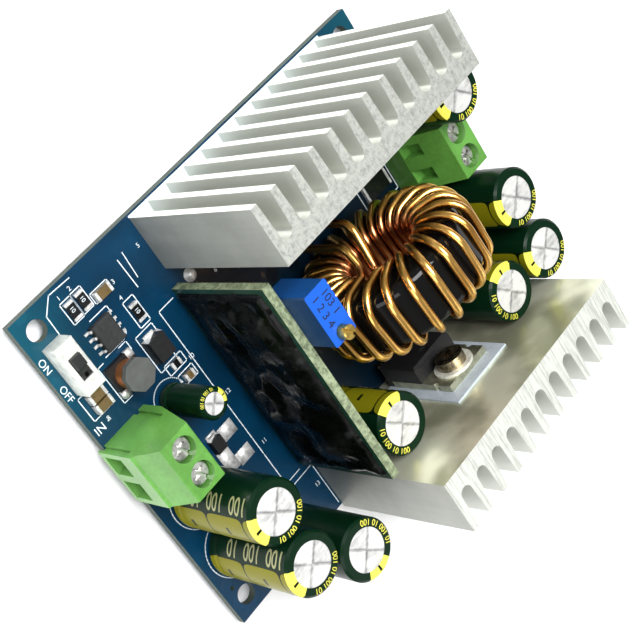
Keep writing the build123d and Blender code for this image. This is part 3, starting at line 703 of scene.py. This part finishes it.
class MODULE_OT_devices(bpy.types.Operator):
    """Finish the power devices, their pads and screws"""
    bl_idname = "module.devices"
    bl_label = "Power devices"

    def execute(self, context):
        black = moulding("device_moulding", (0.13, 0.13, 0.14), 0.45)
        tinned = bright_metal("tinned_copper", (0.80, 0.80, 0.70), 0.35, 0.7)
        for name in ("rectifier", "transistor"):
            dress(f"{name}_body", black)
            dress(f"{name}_frame", tinned)
        dress("insulating_pads", moulding("insulating_sheet", (0.72, 0.76, 0.80), 0.35))
        head = bright_metal("screw_nickel", (0.72, 0.66, 0.56), 0.16, 0.35)
        mesh = dress("device_screws", head, bright_metal("washer_zinc", (0.95, 0.95, 0.90), 0.3, 0.75, 0.4))
        washer_thickest = 1.0 * MM
        for island in islands(mesh):
            across = [mesh.vertices[v].co.x for face in island for v in mesh.polygons[face].vertices]
            if max(across) - min(across) < washer_thickest:
                for face in island:
                    mesh.polygons[face].material_index = 1
        return {"FINISHED"}


class MODULE_OT_inductor(bpy.types.Operator):
    """Wind the wire round the core"""
    bl_idname = "module.inductor"
    bl_label = "Inductor"

    def execute(self, context):
        dress("inductor_core", self.coating())
        route = self.route()
        curve = bpy.data.curves.new("winding", "CURVE")
        curve.dimensions = "3D"
        curve.bevel_depth = sizes().wire_diameter / 2
        curve.bevel_resolution = 4
        curve.use_fill_caps = True
        line = curve.splines.new("POLY")
        line.points.add(len(route) - 1)
        top = cad_box[1][2] - curve.bevel_depth
        for point, place in zip(line.points, route):
            point.co = (place.x, place.y, min(place.z, top), 1)
        holder = bpy.data.objects.new("winding_route", curve)
        mesh = bpy.data.meshes.new_from_object(holder)
        bpy.data.objects.remove(holder)
        mesh.name = "winding"
        mesh.shade_smooth()
        mesh.materials.clear()
        mesh.materials.append(enamel())
        wound = placed("winding", mesh)
        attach(wound, "module")
        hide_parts("inductor_winding")
        return {"FINISHED"}

    def coating(self):
        """Black glossy coat of the core."""
        def surface(s):
            grain = s.place().grain(700, 3)
            return {"Roughness": grain * 0.1 + 0.03, "bump": (grain, 0.01 * MM)}
        return material(
            "core_coating", surface, base_color=(0.004, 0.004, 0.004, 1), specular_ior_level=0.1,
            coat_weight=0.3, coat_roughness=0.02,
        )

    def route(self):
        """Places along the wire, turn by turn round the core's section, with angles in degrees."""
        low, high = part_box("inductor_core")
        centre = (low + high) / 2
        turn = sizes().ring_turn
        wire = sizes().wire_diameter
        turns = sizes().wire_turns
        outer = (high.z - low.z) / 2 + wire / 2
        hole_radius, half_width = 7.2 * MM, 5.2 * MM
        inner = hole_radius - wire / 2
        side = half_width + wire / 2
        axis = Vector((math.cos(turn), math.sin(turn), 0))
        ahead = Vector((-math.sin(turn), math.cos(turn), 0))
        up = Vector((0, 0, 1))
        loose = random.Random(11)
        hole_first, hole_last, rim_first = 141.0, -201.0, 150.0

        def at(radius, angle, shift):
            """A place by the ring: its radius, its angle in degrees and its shift along the ring's axis."""
            t = math.radians(angle)
            return centre + axis * shift + (ahead * math.cos(t) + up * math.sin(t)) * radius

        start, end = board_point(20.0, 48.2), board_point(23.6, 46.4)
        below = up * 3.1 * MM
        corners = [(start - below, 1.0), (start + up * 18.0 * MM, 2.6)]
        for i in range(turns):
            hole = hole_first + (hole_last - hole_first) * i / turns
            rim = rim_first - 360.0 * i / turns + loose.uniform(-0.9, 0.9)
            slack = loose.uniform(0.2, 0.4) * MM
            bulge = loose.uniform(0.8, 1.05) * MM
            lift = loose.uniform(0.0, 0.25) * MM
            corners += [
                (at(inner, hole, -side - lift), 3.2),
                (at(inner, hole, side + lift), 2.6),
                (at(outer + slack, rim + loose.uniform(-0.5, 0.5), side + slack), 3.2),
                (at(outer + bulge, rim, -side - bulge), 5.6),
            ]
        corners.append((at(inner, hole_last, -side), 2.5))
        corners += [(end + up * 15.5 * MM, 2.6), (end - below, 1.0)]
        return eased(corners)


def eased(corners, count=8):
    """A line through corners, each rounded to its radius in millimetres."""
    line = [corners[0][0]]
    for (before, _), (corner, radius), (after, _) in zip(corners, corners[1:], corners[2:]):
        back, on = before - corner, after - corner
        bend = math.pi - back.angle(on)
        reach = min(radius * MM * math.tan(bend / 2), back.length * 0.48, on.length * 0.48)
        first, last = corner + back.normalized() * reach, corner + on.normalized() * reach
        pull = math.cos(bend / 2)
        for k in range(count + 1):
            t = k / count
            a, b, c = (1 - t) ** 2, 2 * t * (1 - t) * pull, t ** 2
            line.append((first * a + corner * b + last * c) / (a + b + c))
    line.append(corners[-1][0])
    return line


class MODULE_OT_control(bpy.types.Operator):
    """Finish the control board and pour its compound"""
    bl_idname = "module.control"
    bl_label = "Control board"

    def execute(self, context):
        face = moulding("control_mask", (0.06, 0.20, 0.14), 0.35, coat=0.4)
        edge = laminate_green()
        mesh = dress("control_board", face, edge)
        for polygon in mesh.polygons:
            if abs(polygon.normal.y) < 0.5:
                polygon.material_index = 1
        dress("control_header", moulding("header_moulding", (0.08, 0.08, 0.09), 0.5))
        dress("control_pins", bright_metal("header_pins", (0.8, 0.78, 0.7)))
        self.pour()
        return {"FINISHED"}

    def pour(self):
        """A lumpy glossy skin over the board's front."""
        low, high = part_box("control_compound")
        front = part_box("control_board")[0].y
        wide, tall = high.x - low.x, high.z - low.z
        columns = 170
        rows = round(columns * tall / wide)
        lumps = [
            (0.22, 0.70, 0.13, 0.20, 1.1), (0.47, 0.74, 0.11, 0.17, 0.9), (0.76, 0.66, 0.14, 0.20, 1.3),
            (0.26, 0.26, 0.17, 0.15, 0.7), (0.60, 0.27, 0.14, 0.16, 1.0), (0.87, 0.25, 0.08, 0.14, 0.6),
            (0.40, 0.48, 0.09, 0.12, 0.4), (0.12, 0.45, 0.07, 0.14, 0.5),
        ]
        points = []
        for j in range(rows + 1):
            for i in range(columns + 1):
                u, v = i / columns, j / rows
                place = Vector((u * wide, 0, v * tall)) / MM
                wander = 0.35 * noise.noise(place * 0.3) + 0.05 * noise.noise(place * 1.1)
                edge = min(u * wide, (1 - u) * wide, v * tall, (1 - v) * tall) / MM + wander - 0.3
                rim = max(0.0, min(1.0, edge / 1.3))
                rise = 0.7 + 0.28 * noise.noise(place * 0.22) + 0.10 * noise.noise(place * 0.55)
                rise += 0.02 * noise.noise(place * 1.6)
                for cx, cz, w, h, height in lumps:
                    away = ((u - cx) / w) ** 4 + ((v - cz) / h) ** 4
                    rise += height * math.exp(-1.2 * away)
                depth = -0.05 if rim <= 0 else max(0.12, rise) * math.sqrt(rim * (2 - rim))
                points.append((low.x + u * wide, front - depth * MM, low.z + v * tall))
        faces = []
        for j in range(rows):
            for i in range(columns):
                a = j * (columns + 1) + i
                faces.append((a, a + 1, a + columns + 2, a + columns + 1))
        skin = piece("compound_skin", points, faces, poured(), smooth=True)
        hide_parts("control_compound")


def laminate_green():
    """Cut edge of the thin control board: pale green, a little mottled."""
    def surface(s):
        place = s.place()
        mottle = place.grain(1100, 4, 0.7)
        dull = linear((0.36, 0.40, 0.30))
        pale = linear((0.58, 0.63, 0.50))
        return {
            "Base Color": mottle.step(0.36, 0.64).blend(dull, pale),
            "bump": (mottle, 0.03 * MM),
        }
    return material("control_edge", surface, roughness=0.6)


class MODULE_OT_trimmer(bpy.types.Operator):
    """Finish the trimmer"""
    bl_idname = "module.trimmer"
    bl_label = "Trimmer"

    def execute(self, context):
        dress("trimmer_body", self.blue())
        dress("trimmer_screw", bright_metal("brass", (0.90, 0.76, 0.40), 0.2, 0.5))
        dress("trimmer_leads", bright_metal("trimmer_pins", (0.8, 0.8, 0.8)))
        low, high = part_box("trimmer_body")
        ink = moulding("trimmer_print", (0.04, 0.06, 0.16), 0.6)
        top = Vector((low.x, high.y, high.z))
        for i, (word, x, y) in enumerate((("103 1", 1.2, 1.9), ("1 2 3 4", 1.0, 3.9))):
            place = top + Vector((x * MM, -y * MM, 0))
            write_flat(f"trimmer_number_{i}", word, place, 1.45, 0, ink)
        return {"FINISHED"}

    def blue(self):
        """Blue moulding, with painted shade on its -X side and deeper painted shade on its -Y side."""
        def surface(s):
            x, y = s.facing()[:2]
            grain = s.place().grain(1800, 3)
            tone = linear(finishes().trimmer)
            # painted shade: the -X side painted darker, the -Y side painted darker still
            dark = toned(tone, 0.4, 0.62, 0.42)
            painted_deep_shade = toned(tone, 0.1, 0.26, 0.16)
            return {
                "Base Color": (y < -0.7).blend((x < -0.7).blend(tone, dark), painted_deep_shade),
                "Roughness": grain * 0.2 + 0.3,
                "bump": (grain, 0.02 * MM),
            }
        return material(
            "trimmer_blue", surface, specular_ior_level=0.25, coat_weight=0.05, coat_roughness=0.1
        )


class MODULE_OT_terminals(bpy.types.Operator):
    """Finish the terminal blocks"""
    bl_idname = "module.terminals"
    bl_label = "Terminal blocks"

    def execute(self, context):
        green = moulding("terminal_green", tuple(finishes().terminal), 0.38, 1400, 0.02, 0.25)
        steel = bright_metal("clamp_steel", (0.93, 0.93, 0.91), 0.2, 0.45, 0.85)
        for name in ("input", "output"):
            dress(f"{name}_terminal", green)
            for side in "ab":
                dress(f"{name}_screw_{side}", steel)
                dress(f"{name}_cage_{side}", steel)
        dress("terminal_contacts", bright_metal("contact_tin", (0.78, 0.78, 0.8)))
        return {"FINISHED"}


class MODULE_OT_switch(bpy.types.Operator):
    """Finish the slide switch"""
    bl_idname = "module.switch"
    bl_label = "Slide switch"

    def execute(self, context):
        dress("switch_shell", bright_metal("switch_shell", (0.92, 0.93, 0.90), 0.3, 0.75, 0.35))
        dress("switch_slider", moulding("switch_plastic", (0.07, 0.085, 0.08), 0.6))
        dress("switch_base", moulding("switch_base", (0.12, 0.08, 0.06), 0.5))
        dress("switch_contact", bright_metal("switch_contact", (0.9, 0.75, 0.4)))
        dress("switch_pins", bright_metal("switch_pins", (0.8, 0.8, 0.8)))
        return {"FINISHED"}


class MODULE_OT_capacitors(bpy.types.Operator):
    """Finish the electrolytic capacitors and print their sleeves"""
    bl_idname = "module.capacitors"
    bl_label = "Capacitors"

    # For each can, the side that its stripe faces and the side that its numbers face, in degrees.
    stripes_and_numbers = {
        "a": (-90, -140), "b": (-90, -140), "c": (0, 60), "d": (-90, 60), "e": (-90, 60), "f": (180, 130),
        "g": (-90, 60), "h": (180, 130), "small": (90, None),
    }

    def execute(self, context):
        ink = moulding("sleeve_print", (0.60, 0.60, 0.42), 0.4)
        bright = moulding("lip_print", (0.86, 0.84, 0.30), 0.4)
        for letter, (side, number_side) in self.stripes_and_numbers.items():
            node = f"sleeve_{letter}"
            low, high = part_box(node)
            axis = (low + high) / 2
            turn = math.radians(side)
            radius = (high.x - low.x) / 2
            dress(node, sleeve_film(axis, turn, low.z, high.z, radius))
            dress(f"capacitor_{letter}", self.can_metal(axis, turn))
            mesh = nodes[node].data
            corners = [v.co for v in mesh.vertices]
            skin = BVHTree.FromPolygons(corners, [tuple(face.vertices) for face in mesh.polygons])
            first_angle = turn + math.radians(55)
            lip_reach = radius * 0.755
            round_lip = word_points("10 100 10 100", radius / MM * 0.27)
            self.wrap(f"lip_{letter}", round_lip, bright, lambda along, up: self.on_lip(
                skin, axis, high.z, first_angle + (along / radius) * 1.15, lip_reach + up
            ))
            if number_side is not None:
                start = high.z - 0.8 * MM
                half_tall = 1.4 * MM
                middle = math.radians(number_side)
                down_side = word_points("100  100  10", 4.0)
                self.wrap(f"number_{letter}", down_side, ink, lambda along, up: self.on_side(
                    axis, start - along * 0.72, middle + (up - half_tall) / radius, radius + film_lift
                ))
        return {"FINISHED"}

    def on_side(self, axis, z, angle, reach):
        """Place on the sleeve's side."""
        return (axis.x + reach * math.cos(angle), axis.y + reach * math.sin(angle), z)

    def on_lip(self, skin, axis, top, angle, reach):
        """Place on the sleeve's folded lip, just over its film."""
        over = Vector((axis.x + reach * math.cos(angle), axis.y + reach * math.sin(angle), top + 1 * MM))
        hit = skin.ray_cast(over, Vector((0, 0, -1)))[0]
        return (over.x, over.y, (hit.z if hit else top) + film_lift)

    def wrap(self, name, word, ink, lay):
        """A printed word laid over a curved face."""
        points, faces = word
        piece(name, [lay(along, up) for along, up in points], faces, ink)

    def can_metal(self, axis, turn):
        """Bright aluminium can, with painted light and shade in alternate quarters of its top and painted
        shade along the scored cross.
        """
        def surface(s):
            x, y = s.place().parts()[:2]
            lean = turn + math.radians(45)
            u = (x - axis.x) * math.cos(lean) + (y - axis.y) * math.sin(lean)
            v = (y - axis.y) * math.cos(lean) - (x - axis.x) * math.sin(lean)
            # painted light: alternate quarters of the top painted lighter
            painted_light_quarter = (u * v) > 0.0
            streak = s.place().stretched(1, 0.25, 1).grain(1500, 4, 0.7)
            cloudy = s.place().grain(500, 3)
            # painted shade: darker along the scored cross
            near = (u.math("ABSOLUTE") & v.math("ABSOLUTE")) / (0.5 * MM)
            shade = painted_light_quarter * 0.15 + near.step(0.05, 1.0) * 0.30 + cloudy * 0.55 + streak * 0.8 - 0.45
            return {
                "Base Color": shade.step(0.1, 0.72).blend((0.26, 0.26, 0.26, 1), (0.76, 0.76, 0.74, 1)),
                "Roughness": streak * 0.2 + 0.3,
                "bump": (streak, 0.04 * MM),
            }
        return material("can_aluminium", surface, metallic=0.35)


class MODULE_OT_chips(bpy.types.Operator):
    """Finish the surface-mounted parts and solder them down"""
    bl_idname = "module.chips"
    bl_label = "Surface-mounted parts"

    def execute(self, context):
        tin = self.tin()
        self.ends("chip_resistors", chip_glaze("resistor_glaze", (0.04, 0.04, 0.045)), tin)
        self.ends("chip_capacitors", chip_glaze("capacitor_ceramic", (0.43, 0.355, 0.215)), tin)
        self.ends("surface_diodes", moulding("diode_moulding", (0.06, 0.06, 0.065), 0.5), tin)
        mesh = dress("driver_chip", moulding("driver_moulding", (0.15, 0.16, 0.16), 0.55, 1200, 0.06), tin)
        low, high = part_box("driver_chip")
        lead_reach = 1.0 * MM
        body = (high.y - low.y) / 2 - lead_reach
        for face in mesh.polygons:
            if abs(face.center.y - (low.y + high.y) / 2) > body:
                face.material_index = 1
        foot_height = 1.3 * MM
        ferrite = moulding("ferrite", (0.32, 0.33, 0.32), 0.6, 900, 0.1)
        mesh = dress("choke_drum", ferrite, moulding("choke_base", (0.06, 0.05, 0.045), 0.5))
        for face in mesh.polygons:
            if face.center.z < board_top + foot_height:
                face.material_index = 1
        dress("choke_coil", self.coil())
        self.pads(tin)
        white = printed()
        for i, (x, y) in enumerate(((4.2, 9.35), (4.1, 11.65), (11.7, 17.7))):
            write_flat(f"chip_number_{i}", "10", board_point(x, y, 0.55), 0.75, 0, white)
        return {"FINISHED"}

    def tin(self):
        """Dull tinned metal with a bright grain."""
        def surface(s):
            grain = s.place().grain(1300, 4, 0.7)
            return {
                "Base Color": grain.step(0.35, 0.6).blend((0.50, 0.50, 0.49, 1), (0.86, 0.86, 0.85, 1)),
                "bump": (grain, 0.04 * MM),
            }
        return material("chip_tin", surface, metallic=0.45, roughness=0.4)

    def ends(self, node, body, tin):
        """Tinned ends on each chip of a group."""
        mesh = dress(node, body, tin)
        tinned = 0.52 * MM
        for island in islands(mesh):
            corners = [mesh.vertices[v].co for face in island for v in mesh.polygons[face].vertices]
            low = Vector([min(c[i] for c in corners) for i in range(3)])
            high = Vector([max(c[i] for c in corners) for i in range(3)])
            wide = 0 if high.x - low.x > high.y - low.y else 1
            reach = (high[wide] - low[wide]) / 2
            middle = (high[wide] + low[wide]) / 2
            for face in island:
                away = abs(mesh.polygons[face].center[wide] - middle)
                if away > reach - tinned:
                    mesh.polygons[face].material_index = 1

    def coil(self):
        """Layers of fine copper wire, with painted shade between the turns."""
        layer = 0.32 * MM

        def surface(s):
            z = s.place().parts()[2]
            # painted shade: near-black bands in the grooves between the turns
            turns_and_painted_shade = (z * (2 * math.pi / layer)).math("SINE") * 0.5 + 0.5
            return {
                "Base Color": turns_and_painted_shade.blend((0.10, 0.03, 0.01, 1), (0.62, 0.24, 0.08, 1)),
                "bump": (turns_and_painted_shade, 0.1 * MM),
            }
        return material("choke_wire", surface, metallic=0.8, roughness=0.3)

    def pads(self, tin):
        """Solder on the pads of the surface-mounted parts, and tinned corners on the choke's foot."""
        solder = Block()
        spots = [
            (37.0, 16.6, 39.7, 19.9, 0.12), (42.5, 16.6, 45.0, 19.9, 0.12), (39.9, 13.9, 44.3, 16.4, 0.5),
            (36.3, 14.2, 37.2, 16.3, 0.3), (15.35, 11.7, 16.7, 13.1, 1.15), (19.7, 7.4, 21.05, 8.8, 1.15),
        ]
        for x0, y0, x1, y1, z in spots:
            solder.box(board_point(x0, y0), board_point(x1, y1, z))
        made = piece("pad_solder", solder.points, solder.faces, tin)
        soften(made, 0.05 * MM)
        self.blob(board_point(14.5, 29.3), tin)

    def blob(self, place, tin):
        """A lead's joint soldered from the top, as a low dome."""
        points, faces = [tuple(place + Vector((0, 0, 0.9 * MM)))], []
        around = 24
        for ring, (reach, height) in enumerate(((0.35, 0.87), (0.75, 0.66), (1.05, 0.33), (1.25, 0.0))):
            for i in range(around):
                t = 2 * math.pi * i / around
                points.append(tuple(place + Vector((reach * math.cos(t), reach * math.sin(t), height)) * MM))
                a, b = 1 + ring * around + i, 1 + ring * around + (i + 1) % around
                faces.append((0, a, b) if ring == 0 else (a - around, a, b, b - around))
        piece("top_joint", points, faces, tin, smooth=True)


def islands(mesh):
    """Groups of faces that hang together through shared places."""
    keys = {}
    parent = list(range(len(mesh.polygons)))

    def root(i):
        """The face that stands for this face's group."""
        while parent[i] != i:
            parent[i] = parent[parent[i]]
            i = parent[i]
        return i

    for face in mesh.polygons:
        for v in face.vertices:
            key = tuple(round(c / (0.002 * MM)) for c in mesh.vertices[v].co)
            if key in keys:
                parent[root(face.index)] = root(keys[key])
            else:
                keys[key] = face.index
    groups = {}
    for i in range(len(parent)):
        groups.setdefault(root(i), []).append(i)
    return list(groups.values())


def soften(made, width):
    """Rounds a piece's edges."""
    shape = bmesh.new()
    shape.from_mesh(made.data)
    bmesh.ops.bevel(shape, geom=shape.edges[:], offset=width, segments=2, affect="EDGES")
    shape.to_mesh(made.data)
    shape.free()
    made.data.shade_smooth()


class MODULE_OT_stage(bpy.types.Operator):
    """Floor, lamps and camera"""
    bl_idname = "module.stage"
    bl_label = "Stage"

    def execute(self, context):
        scene = context.scene
        scene.view_settings.view_transform = "Standard"
        settings = scene.module_stage
        self.floor(settings)
        self.lamp("key", (-0.20, -0.05, 0.42), 0.28, settings.key)
        self.lamp("fill_left", (0.05, -0.42, 0.26), 0.30, settings.fill)
        self.lamp("fill_right", (0.38, 0.16, 0.30), 0.30, settings.fill * 0.4)
        self.sky(scene, settings.sky)
        data = bpy.data.cameras.new("camera")
        data.lens = settings.lens
        data.sensor_width = 36.0
        data.clip_start = 0.005
        camera = placed("camera", data)
        camera.location = settings.camera_place
        camera.rotation_euler = settings.camera_turn
        scene.camera = camera
        return {"FINISHED"}

    def floor(self, settings):
        """A wide pale floor under the module."""
        low = cad_box[0][2]
        mesh = bpy.data.meshes.new("floor")
        reach = 0.45
        turns = ((-1, -1), (1, -1), (1, 1), (-1, 1))
        corners = [(x * reach, y * reach, low) for x, y in turns]
        mesh.from_pydata(corners, [], [(0, 1, 2, 3)])
        made = placed("floor", mesh)
        pale = linear(settings.floor)
        mesh.materials.append(material("floor", lambda s: {}, base_color=pale, roughness=0.9))

    def lamp(self, name, place, size, power):
        """A square soft lamp that looks at the module."""
        data = bpy.data.lights.new(name, "AREA")
        data.shape = "SQUARE"
        data.size = size
        data.energy = power
        lamp = placed(name, data)
        lamp.location = place
        middle = Vector((0, 0, 15 * MM))
        lamp.rotation_euler = (middle - Vector(place)).to_track_quat("-Z", "Y").to_euler()

    def sky(self, scene, strength):
        """Even light from above, and a white backdrop all round at the height of the eye."""
        world = bpy.data.worlds.new("sky")
        world.use_nodes = True
        scene.world = world
        tree = world.node_tree
        background = next(n for n in tree.nodes if n.type == "BACKGROUND")
        start = Shade(tree)
        up = start.node("TexCoord", output=0).parts()[2]
        backdrop = 0.95
        glow = backdrop - up.step(0.04, 0.30) * (backdrop - strength)
        tree.links.new(glow.socket, background.inputs["Strength"])
        background.inputs["Color"].default_value = (1, 1, 1, 1)


class MODULE_PT_panel(bpy.types.Panel):
    """Lists the module's pieces and settings"""
    bl_label = "Converter Module"
    bl_idname = "MODULE_PT_panel"
    bl_space_type = "VIEW_3D"
    bl_region_type = "UI"
    bl_category = "Module"

    def draw(self, context):
        for operator in operators:
            self.layout.operator(operator.bl_idname)
        for group in (context.scene.module_finishes, context.scene.module_sizes, context.scene.module_stage):
            for key in group.bl_rna.properties.keys():
                if key not in ("rna_type", "name"):
                    self.layout.prop(group, key)


operators = (
    MODULE_OT_stage,
    MODULE_OT_board,
    MODULE_OT_heatsinks,
    MODULE_OT_devices,
    MODULE_OT_inductor,
    MODULE_OT_control,
    MODULE_OT_trimmer,
    MODULE_OT_terminals,
    MODULE_OT_switch,
    MODULE_OT_capacitors,
    MODULE_OT_chips,
)
groups = (ModuleFinishes, ModuleSizes, ModuleStage)


def register():
    for kind in (*groups, *operators, MODULE_PT_panel):
        bpy.utils.register_class(kind)
    bpy.types.Scene.module_finishes = PointerProperty(type=ModuleFinishes)
    bpy.types.Scene.module_sizes = PointerProperty(type=ModuleSizes)
    bpy.types.Scene.module_stage = PointerProperty(type=ModuleStage)


def unregister():
    del bpy.types.Scene.module_stage
    del bpy.types.Scene.module_sizes
    del bpy.types.Scene.module_finishes
    for kind in reversed((*groups, *operators, MODULE_PT_panel)):
        bpy.utils.unregister_class(kind)


def main():
    """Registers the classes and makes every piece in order."""
    register()
    for operator in operators:
        family, name = operator.bl_idname.split(".")
        getattr(getattr(bpy.ops, family), name)()


if __name__ == "__main__":
    main()
